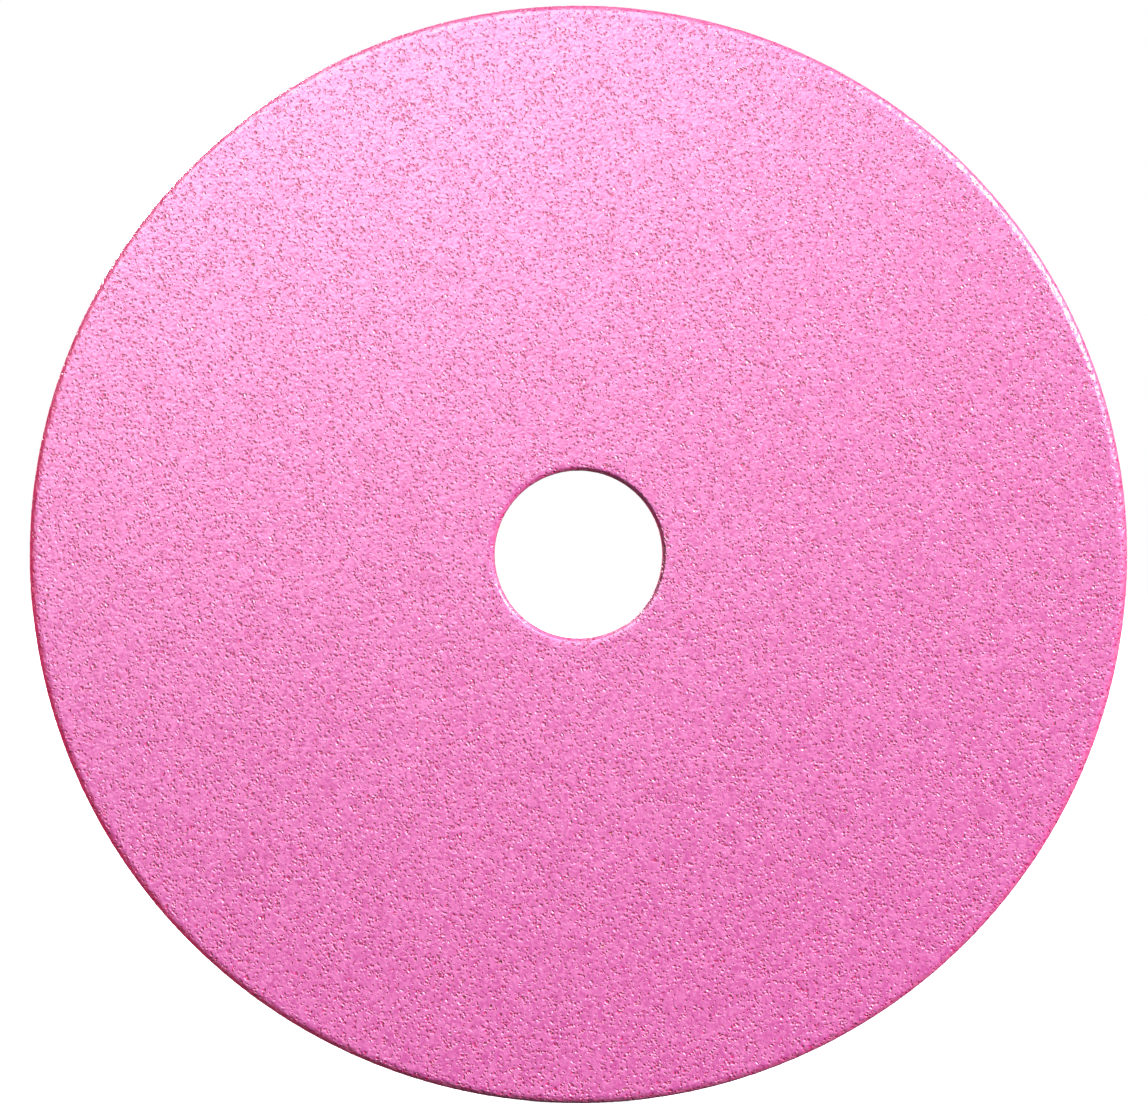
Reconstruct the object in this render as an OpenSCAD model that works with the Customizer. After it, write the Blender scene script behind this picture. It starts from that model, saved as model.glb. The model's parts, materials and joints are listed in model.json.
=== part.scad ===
// Straight vitrified grinding wheel: one pressed and fired disc with a plain bore.
// Units are millimetres. The wheel's centre is the origin and it spins about +Y,
// so it stands upright with a ground face towards -Y and the other towards +Y.

/* [Disc] */
// Outside diameter of the new wheel
wheel_d = 145; // [100:1:205]
// Thickness between the two ground faces
wheel_t = 3.2; // [2.5:0.1:6.5]
// Width of the broken corner between each face and the rim
rim_arris = 0.6; // [0.1:0.1:0.8]

/* [Bore] */
// Diameter of the hole that the spindle goes through
bore_d = 22.2; // [12:0.1:32]
// Width of the broken corner at each mouth of the bore
bore_arris = 0.4; // [0.1:0.1:0.8]

/* [Quality] */
// Sides used where a preview draws a circle
round_fn = 240; // [48:12:360]

/* [Hidden] */
rim_r = wheel_d / 2;
bore_r = bore_d / 2;
half_t = wheel_t / 2;

// Half of the wheel's cross-section: radius along X, height above mid-thickness along Y.
module half_section() {
    polygon([
        [bore_r, -half_t + bore_arris],
        [bore_r + bore_arris, -half_t],
        [rim_r - rim_arris, -half_t],
        [rim_r, -half_t + rim_arris],
        [rim_r, half_t - rim_arris],
        [rim_r - rim_arris, half_t],
        [bore_r + bore_arris, half_t],
        [bore_r, half_t - bore_arris]
    ]);
}

// The whole wheel: pink fused alumina grain in a fired glass bond, with no core, bush or backing.
module abrasive_body() {
    color([0.96, 0.59, 0.80])
        rotate([-90, 0, 0])
            rotate_extrude($fn = round_fn)
                half_section();
}

abrasive_body();
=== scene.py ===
# %% [markdown]
# # A pink grinding wheel
# A straight grinding wheel is one thin ceramic disc with a hole in the middle. Grains of pink fused
# alumina are mixed with a clay and glass bond, pressed, fired, and then ground flat on both faces.
# There is nothing to assemble, so the work is all in the surface: the corners crumble grain by grain,
# and the faces are a pavement of flat-topped grains with small dark holes where grains fell out.

# %% Load the frame
import json
import math

import bpy
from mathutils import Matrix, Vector


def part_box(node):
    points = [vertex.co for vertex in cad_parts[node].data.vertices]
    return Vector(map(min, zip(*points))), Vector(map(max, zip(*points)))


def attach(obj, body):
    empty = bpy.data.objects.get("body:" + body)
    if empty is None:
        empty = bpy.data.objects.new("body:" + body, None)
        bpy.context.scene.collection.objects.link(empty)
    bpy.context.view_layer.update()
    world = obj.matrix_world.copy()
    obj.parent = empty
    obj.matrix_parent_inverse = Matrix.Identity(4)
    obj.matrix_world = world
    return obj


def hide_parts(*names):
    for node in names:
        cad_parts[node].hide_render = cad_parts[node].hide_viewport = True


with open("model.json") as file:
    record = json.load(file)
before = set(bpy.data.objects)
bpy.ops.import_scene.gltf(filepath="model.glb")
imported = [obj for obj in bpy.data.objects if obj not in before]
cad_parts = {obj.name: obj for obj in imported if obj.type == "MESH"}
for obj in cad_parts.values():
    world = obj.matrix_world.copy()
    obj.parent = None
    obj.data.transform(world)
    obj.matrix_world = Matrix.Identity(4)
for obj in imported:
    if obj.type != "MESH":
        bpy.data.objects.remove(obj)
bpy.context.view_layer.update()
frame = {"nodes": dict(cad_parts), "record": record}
MM = 0.001
TOUCHING = 0.01 * MM

# %% [markdown]
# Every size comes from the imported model, so the visible wheel can't drift away from the designed one.
# The box gives the diameter and thickness, the bore's mount gives the hole, and the widths of the
# broken corners follow from where the flat faces and the bore's straight wall end. Blender works in
# metres, so a size is written as a number of MM, and two points closer than TOUCHING count as one.

# %% Read the wheel's sizes
disc = frame["nodes"]["abrasive_body"]
low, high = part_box("abrasive_body")
bore = next(m for m in frame["record"]["mounts"] if m["name"] == "arbor_bore")
rim_r = high.x
half_t = high.y
bore_r = bore["dims"]["r_mm"] * MM
bore_corner = half_t - bore["dims"]["length_mm"] * MM / 2
face_r = max(math.hypot(v.co.x, v.co.z) for v in disc.data.vertices if v.co.y > half_t - TOUCHING)
rim_corner = rim_r - face_r
print(f"rim {rim_r / MM:.2f} mm, bore {bore_r / MM:.2f} mm, half thickness {half_t / MM:.2f} mm")
print(f"corners {rim_corner / MM:.2f} mm at the rim, {bore_corner / MM:.2f} mm at the bore")

# %% [markdown]
# The wheel is round, so its mesh is made as on a lathe, from the outline of its cross-section. Hub and
# rim have the same kind of outline: up the wall, across the broken corner, then over the face, with
# rings close together where grains break out and wide apart where the face is flat. It is described by
# how deep each ring lies in from the wall, so one function serves both.

# %% Outline the cross-section
WALL_RINGS = 5
CORNER_RINGS = 5
FINE_RINGS = 6
FINE_STEP = 0.16 * MM
WIDE_RINGS = 3
WIDENING = 1.5
HUB_REACH = 12 * MM
RIM_REACH = 30 * MM


def half_outline(corner, face_depth):
    """From mid-thickness to the far end of one face, as (depth in from the wall, y)."""
    straight = half_t - corner
    wall = [(0, straight * i / WALL_RINGS) for i in range(WALL_RINGS)]
    slope = [corner * i / CORNER_RINGS for i in range(CORNER_RINGS + 1)]
    chamfer = [(step, straight + step) for step in slope]
    fine = [(corner + FINE_STEP * (i + 1), half_t) for i in range(FINE_RINGS)]
    flat = face_depth - fine[-1][0]
    wide = [(fine[-1][0] + flat * ((i + 1) / WIDE_RINGS) ** WIDENING, half_t) for i in range(WIDE_RINGS)]
    return wall + chamfer + fine + wide


def outline(wall_r, inwards, corner, face_depth):
    """Both halves, from the far end of the front face to the far end of the back, as (radius, y)."""
    half = half_outline(corner, face_depth)
    front = [(wall_r + inwards * depth, -y) for depth, y in reversed(half[1:])]
    back = [(wall_r + inwards * depth, y) for depth, y in half]
    return front + back


hub_outline = outline(bore_r, 1, bore_corner, HUB_REACH)
rim_outline = outline(rim_r, -1, rim_corner, RIM_REACH)
print("rings:", len(hub_outline), "in the hub,", len(rim_outline), "in the rim")

# %% [markdown]
# A circle is extruded ring by ring along the outline, and resized at each ring. A single spin would
# give the small bore as many points round as the big rim, so the hub and the rim are turned apart,
# each with its own count.

# %% Turn the hub and the rim
HUB_SEGMENTS = 480
RIM_SEGMENTS = 1920


def turn(name, rings, segments):
    """Extrudes a circle ring by ring along an outline."""
    first_r, first_y = rings[0]
    bpy.ops.object.select_all(action="DESELECT")
    bpy.ops.mesh.primitive_circle_add(
        vertices=segments, radius=first_r, location=(0, first_y, 0), rotation=(math.pi / 2, 0, 0)
    )
    turned = bpy.context.object
    turned.name = turned.data.name = name
    bpy.ops.object.transform_apply(location=True, rotation=True, scale=True)
    bpy.ops.object.mode_set(mode="EDIT")
    bpy.ops.mesh.select_all(action="SELECT")
    for (r0, y0), (r1, y1) in zip(rings, rings[1:]):
        bpy.ops.mesh.extrude_edges_move(TRANSFORM_OT_translate={"value": (0, y1 - y0, 0)})
        bpy.ops.transform.resize(value=(r1 / r0, 1, r1 / r0), center_override=(0, 0, 0))
    bpy.ops.object.mode_set(mode="OBJECT")
    return turned


hub = turn("hub", hub_outline, HUB_SEGMENTS)
wheel = turn("abrasive_disc", rim_outline, RIM_SEGMENTS)
print("points:", len(hub.data.vertices), "in the hub,", len(wheel.data.vertices), "in the rim")

# %% [markdown]
# Hub and rim are joined into one object and the flat rings between them filled, first in front, then at
# the back. The result has to be closed: every edge must have exactly two faces, and the count at the
# end finds the ones that don't.

# %% Fill between them
bpy.ops.object.select_all(action="DESELECT")
hub.select_set(True)
wheel.select_set(True)
bpy.context.view_layer.objects.active = wheel
bpy.ops.object.join()


def is_open_end(point, side):
    """Whether a point lies on the last ring of the hub or the rim on this side."""
    r = math.hypot(point.x, point.z)
    off = min(abs(r - hub_outline[0][0]), abs(r - rim_outline[0][0]))
    return point.y * side > 0 and off < TOUCHING


bpy.ops.object.mode_set(mode="EDIT")
bpy.ops.mesh.select_mode(type="VERT")
for side in (-1, 1):
    bpy.ops.mesh.select_all(action="DESELECT")
    bpy.ops.object.mode_set(mode="OBJECT")
    for v in wheel.data.vertices:
        v.select = is_open_end(v.co, side)
    bpy.ops.object.mode_set(mode="EDIT")
    bpy.ops.mesh.fill()
bpy.ops.mesh.select_all(action="SELECT")
bpy.ops.mesh.normals_make_consistent(inside=False)
bpy.ops.object.mode_set(mode="OBJECT")

faces_at_edge = {}
for polygon in wheel.data.polygons:
    for key in polygon.edge_keys:
        faces_at_edge[key] = faces_at_edge.get(key, 0) + 1
triangles = sum(len(p.vertices) - 2 for p in wheel.data.polygons)
print("triangles:", triangles, "open edges:", sum(n != 2 for n in faces_at_edge.values()))

# %% [markdown]
# Fired corners are never sharp: single grains break out along them and leave a ragged line. A clean
# bevel alone looks like moulded plastic. The roughness needs to know where it may work, so vertex
# groups mark the corners and the walls. The bore's corners are marked more weakly than the rim's,
# because they are narrower and the same noise would eat them away.

# %% Mark where the surface is rough
CORNER_REACH = 0.5 * MM
BORE_SHARE = 0.4
LEAST_WEIGHT = 0.001


def near(distance, reach):
    """1 at the place itself, easing down to 0 at reach."""
    t = min(distance / reach, 1)
    return 1 - t * t * (3 - 2 * t)


def mark(name, weight):
    """Fills a vertex group from a function of a point's radius and its depth from mid-thickness."""
    group = wheel.vertex_groups.new(name=name)
    for v in wheel.data.vertices:
        w = weight(math.hypot(v.co.x, v.co.z), abs(v.co.y))
        if w > LEAST_WEIGHT:
            group.add([v.index], w, "REPLACE")
    return group.name


corners = mark(
    "corners",
    lambda r, y: max(
        near(math.hypot(r - rim_r + rim_corner, y - half_t), CORNER_REACH),
        near(math.hypot(r - bore_r - bore_corner, y - half_t), CORNER_REACH) * BORE_SHARE,
    ),
)
walls = mark("walls", lambda r, y: near(min(abs(r - rim_r), abs(r - bore_r)), CORNER_REACH))

# %% [markdown]
# Two Displace modifiers eat into the corners, one with a noise as coarse as a few grains and one as
# fine as a single grain, and a third roughens the rim and the bore. Their middle level is 1, so they
# push inwards and the wheel keeps its diameter, thickness and bore. The size written at the end shows
# by how little it doesn't.

# %% Break the corners and roughen the rim
SMOOTH_BELOW = math.radians(60)


def press_in(name, zone, grain_mm, depth_mm, contrast):
    """Pushes a zone inwards by a cloudy noise of the given grain and depth."""
    clouds = bpy.data.textures.new(name, "CLOUDS")
    clouds.noise_scale = grain_mm * MM
    clouds.contrast = contrast
    push = wheel.modifiers.new(name, "DISPLACE")
    push.texture = clouds
    push.texture_coords = "LOCAL"
    push.vertex_group = zone
    push.mid_level = 1
    push.strength = depth_mm * MM
    bpy.context.view_layer.objects.active = wheel
    bpy.ops.object.modifier_apply(modifier=name)


press_in("broken_corners", corners, grain_mm=0.8, depth_mm=0.14, contrast=1.6)
press_in("missing_grains", corners, grain_mm=0.35, depth_mm=0.1, contrast=1.8)
press_in("rough_walls", walls, grain_mm=0.4, depth_mm=0.06, contrast=1.4)
bpy.ops.object.select_all(action="DESELECT")
wheel.select_set(True)
bpy.ops.object.shade_smooth_by_angle(angle=SMOOTH_BELOW)
print("wheel is", [round(d / MM, 2) for d in wheel.dimensions], "mm")

# %% [markdown]
# A material is a small machine of nodes. Writing it as arithmetic keeps it readable: a Wire wraps one
# output of one node, sums and products of wires add Math nodes, and every other node comes from the
# one method `node`, which takes its settings first and then what goes into its sockets.

# %% A class for shader maths
class Wire:
    """An output in a material's node tree."""

    def __init__(self, tree, source=None):
        self.tree = tree
        self.source = source

    def node(self, kind, settings, inputs, output=0):
        """Adds a node with these settings and inputs, and gives the chosen one of its outputs."""
        made = self.tree.nodes.new(kind)
        for name, value in settings.items():
            setattr(made, name, value)
        for name, value in inputs.items():
            if isinstance(value, Wire):
                self.tree.links.new(value.source, made.inputs[name])
            else:
                made.inputs[name].default_value = value
        return Wire(self.tree, made.outputs[output])

    def other(self, output):
        """Another output of the same node."""
        return Wire(self.tree, self.source.node.outputs[output])

    def maths(self, operation, first, second):
        return self.node("ShaderNodeMath", {"operation": operation}, {0: first, 1: second})

    def __add__(self, value):
        return self.maths("ADD", self, value)

    __radd__ = __add__

    def __sub__(self, value):
        return self.maths("SUBTRACT", self, value)

    def __rsub__(self, value):
        return self.maths("SUBTRACT", value, self)

    def __mul__(self, value):
        return self.maths("MULTIPLY", self, value)

    __rmul__ = __mul__

    def __truediv__(self, value):
        return self.maths("DIVIDE", self, value)

    def __rtruediv__(self, value):
        return self.maths("DIVIDE", value, self)

    def step(self, low, high):
        """0 below low, 1 above high, and a smooth ramp between."""
        return self.node(
            "ShaderNodeMapRange",
            {"interpolation_type": "SMOOTHSTEP"},
            {"Value": self, "From Min": low, "From Max": high},
        )

    def mix(self, first, second):
        """A colour between two, by this wire."""
        colours = {"data_type": "RGBA", "clamp_factor": True}
        return self.node("ShaderNodeMix", colours, {0: self, 6: first, 7: second}, 2)


def linear(red, green, blue):
    """A colour given as on a paint chart, 0 to 255, in the linear light that shaders use."""
    parts = [c / 255 for c in (red, green, blue)]
    return tuple(p / 12.92 if p <= 0.04045 else ((p + 0.055) / 1.055) ** 2.4 for p in parts) + (1,)


# %% [markdown]
# ## The fired grain
# A ground face is nearly smooth between its pores. Each pore is a little crater where a grain dropped
# out or where the bond left a gap, a few tenths of a millimetre across, so under raking light it shows
# as a dark crescent on one side and a pale glint on the other. Painting those would fix the light to
# the wheel, so bumps let the lamps make them. The paint still adds painted shade in the pores: a pore's
# floor is painted a deeper pink that stands in for the reddened shade inside it, and about one pore
# in 200 is painted dark red as the shade of a deep hole. Voronoi points scattered through the
# body give each pore a place and, by chance, a size. The points fill space, so pores open on the
# corners and rim as well. A pore's radius is given as a share of the points' spacing.

# %% Scatter the pores
PORES_PER_MM = 2.3
SMALLEST_PORE = 0.1
LARGEST_PORE = 0.72
PORE_DEPTH_MM = 0.115


def noise(space, per_mm, detail, output="Fac"):
    settings = {"Vector": space, "Scale": per_mm, "Detail": detail}
    return space.node("ShaderNodeTexNoise", {}, settings, output)


def pores(space):
    """Craters round scattered points, 1 in the middle and 0 on the ground face, and each one's chance."""
    spots = {"Vector": space, "Scale": PORES_PER_MM, "Randomness": 1.0}
    away = space.node("ShaderNodeTexVoronoi", {"feature": "F1"}, spots, "Distance")
    chance = space.node("ShaderNodeSeparateColor", {}, {"Color": away.other("Color")})
    reach = chance * (LARGEST_PORE - SMALLEST_PORE) + SMALLEST_PORE
    return 1 - (away / reach).step(0.2, 1.0), chance


def bend(space, per_mm, amount):
    """Shifts every point a little by a noise, so that round craters become irregular ones."""
    wander = noise(space, per_mm, 0.0, "Color")
    nudge = space.node("ShaderNodeVectorMath", {"operation": "SUBTRACT"}, {0: wander, 1: (0.5,) * 3})
    sums = {0: nudge, 1: (amount,) * 3, 2: space}
    return space.node("ShaderNodeVectorMath", {"operation": "MULTIPLY_ADD"}, sums)


# %% [markdown]
# The faces were ground after firing, but the corners, the rim and the bore keep more of the fired skin,
# which is a deeper and redder pink. Only the ground faces lie at full thickness, so depth alone tells
# the two apart, and the broken corners show the skin's colour too. Noise has a hidden square grid, and
# a flat face cut along it would show rows, so the pattern is turned askew to the wheel first. The glass
# bond leaves a thin glaze. As a coat it keeps a flat surface of its own, so its sheen lies over grains
# and pores alike, while the bumps below still glint.

# %% Make the grain
ASKEW_TURN = (0.6, 0.5, 0.4)
WAVE_DEPTH_MM = 0.05
SKIN_BELOW_FACE_MM = 0.16
GROUND_BELOW_FACE_MM = 0.06
GRAIN_DEEP = linear(218, 66, 164)
GRAIN_PALE = linear(252, 130, 204)
SKIN_DEEP = linear(226, 72, 146)
SKIN_PALE = linear(244, 118, 174)
# Painted shade: the colour of a pore's floor stands in for the reddened shade inside the pore.
PAINTED_PORE_SHADE = linear(232, 0, 124)
# Painted shade: the dark red stands in for the shade at the bottom of a deep hole.
PAINTED_DEEP_PORE_SHADE = linear(170, 0, 62)
ALUMINA_IOR = 1.76
GLAZE_IOR = 1.7


def fired_grain():
    """Pink fused alumina in a glass bond."""
    material = bpy.data.materials.new("pink_fused_alumina")
    material.use_nodes = True
    tree = material.node_tree
    shader = tree.nodes["Principled BSDF"]
    place = Wire(tree).node("ShaderNodeTexCoord", {}, {}, "Object")
    mm = place.node("ShaderNodeMapping", {}, {"Vector": place, "Scale": (1 / MM,) * 3})
    askew = mm.node("ShaderNodeMapping", {}, {"Vector": mm, "Rotation": ASKEW_TURN})

    crater, chance = pores(bend(askew, per_mm=1.5, amount=0.5))
    height = noise(askew, per_mm=2.6, detail=0.0) * WAVE_DEPTH_MM - crater * PORE_DEPTH_MM
    tint = chance.other("Blue") * 0.8 + noise(askew, per_mm=0.3, detail=3.0) * 0.4 - 0.1
    grain = tint.mix(GRAIN_DEEP, GRAIN_PALE)
    skin = tint.mix(SKIN_DEEP, SKIN_PALE)
    across = mm.node("ShaderNodeSeparateXYZ", {}, {"Vector": mm}, "Y")
    thickness = mm.node("ShaderNodeMath", {"operation": "ABSOLUTE"}, {0: across})
    face_mm = half_t / MM
    ground = thickness.step(face_mm - SKIN_BELOW_FACE_MM, face_mm - GROUND_BELOW_FACE_MM)

    body = ground.mix(skin, grain)
    # Painted shade: pore floors are painted a deeper pink in place of the shade inside them.
    pores_shaded = crater.step(0.1, 0.65).mix(body, PAINTED_PORE_SHADE)
    # Painted shade: about one pore in 200 is painted dark red as the shade of a deep hole.
    one_in_200 = chance.other("Green").step(0.994, 0.996)
    dark = one_in_200 * crater.step(0.1, 0.5)
    colour = dark.mix(pores_shaded, PAINTED_DEEP_PORE_SHADE)

    tree.links.new(colour.source, shader.inputs["Base Color"])
    bump = mm.node("ShaderNodeBump", {}, {"Strength": 1.0, "Distance": MM, "Height": height}, "Normal")
    tree.links.new(bump.source, shader.inputs["Normal"])
    shader.inputs["Roughness"].default_value = 0.35
    shader.inputs["IOR"].default_value = ALUMINA_IOR
    shader.inputs["Coat Weight"].default_value = 0.6
    shader.inputs["Coat IOR"].default_value = GLAZE_IOR
    shader.inputs["Coat Roughness"].default_value = 0.44
    return material


wheel.data.materials.clear()
wheel.data.materials.append(fired_grain())
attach(wheel, "root")
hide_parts("abrasive_body")
print("material nodes:", len(wheel.active_material.node_tree.nodes))

# %% [markdown]
# ## The studio
# The wheel stands on white paper that runs out of sight. The paper glows a little, so that it is as
# white as the room behind it and no horizon shows, but the glow doesn't light the wheel.

# %% Lay the floor
FLOOR_SIZE = 8
PAPER_GLOW = 0.94
bpy.ops.object.select_all(action="DESELECT")
bpy.ops.mesh.primitive_plane_add(size=FLOOR_SIZE, location=(0, 0, low.z))
floor = bpy.context.object
floor.name = "floor"
paper = bpy.data.materials.new("white_paper")
paper.use_nodes = True
paper_shader = paper.node_tree.nodes["Principled BSDF"]
paper_shader.inputs["Base Color"].default_value = (0.8, 0.8, 0.8, 1)
paper_shader.inputs["Roughness"].default_value = 0.9
paper_shader.inputs["Emission Color"].default_value = (1, 1, 1, 1)
paper_shader.inputs["Emission Strength"].default_value = PAPER_GLOW
floor.data.materials.append(paper)
floor.visible_diffuse = False
floor.visible_glossy = False

# %% [markdown]
# One far lamp on the upper right rakes across the face, so that every pore has a dark lip and a bright
# one, all over the disc alike. A wide panel above and in front is seen only as a reflection: it lays a
# pale sheen on the top of the face that fades downwards. A crimson lamp stands at the left, just behind
# the plane of the face, and lights only the shaded corner of the rim. One more lamp, behind the wheel,
# shows its back.

# %% Hang the lamps
def lamp(name, place, size, watts):
    """A square soft lamp aimed at the wheel's centre."""
    aim = (-Vector(place)).to_track_quat("-Z", "Y").to_euler()
    bpy.ops.object.light_add(type="AREA", location=place, rotation=aim)
    hung = bpy.context.object
    hung.name = name
    hung.data.size = size
    hung.data.energy = watts
    return hung


CRIMSON = (1.0, 0.08, 0.36)
lamp("raking_lamp", (2.5, -1.9, 1.7), size=0.4, watts=225)
rim_lamp = lamp("rim_lamp", (-1.2, 0.1, -0.05), size=0.2, watts=22)
rim_lamp.visible_glossy = False
rim_lamp.data.color = CRIMSON
lamp("back_lamp", (-1.6, 2.0, 1.6), size=0.8, watts=135)
sheen_panel = lamp("sheen_panel", (-0.18, -0.55, 0.42), size=0.7, watts=10.8)
sheen_panel.visible_diffuse = False

# %% [markdown]
# The room is plain white where the camera sees it, and dim as a light, so that it doesn't wash out the
# shade in the pores.

# %% Whiten the room
ROOM_LIGHT = 0.08
world = bpy.data.worlds.new("white_room")
bpy.context.scene.world = world
world.use_nodes = True
room = Wire(world.node_tree)
seen = room.node("ShaderNodeLightPath", {}, {}, "Is Camera Ray")
background = world.node_tree.nodes["Background"]
background.inputs["Color"].default_value = (1, 1, 1, 1)
strength = seen * (1 - ROOM_LIGHT) + ROOM_LIGHT
world.node_tree.links.new(strength.source, background.inputs["Strength"])

# %% [markdown]
# ## The camera
# It looks square at the front face from about 36 cm, and the disc almost fills the picture. A longish
# lens keeps the bore's wall and the rim nearly hidden. The small shifts put the disc a hair off the
# middle of the picture.

# %% Set the camera
DISC_SHARE_OF_WIDTH = 0.958
LENS = 85
SENSOR_WIDTH = 36
SHIFT_RIGHT = -0.58 * MM
SHIFT_UP = 0.33 * MM
view_width = 2 * rim_r / DISC_SHARE_OF_WIDTH
bpy.ops.object.camera_add()
camera = bpy.context.object
camera.data.lens = LENS
camera.data.sensor_width = SENSOR_WIDTH
distance = view_width * LENS / SENSOR_WIDTH
camera.location = (SHIFT_RIGHT, -half_t - distance, SHIFT_UP)
camera.rotation_euler = (math.pi / 2, 0, 0)
camera.data.clip_start = 0.01
bpy.context.scene.camera = camera
bpy.context.scene.view_settings.view_transform = "Standard"
print(f"camera {distance / MM:.0f} mm in front of the wheel")
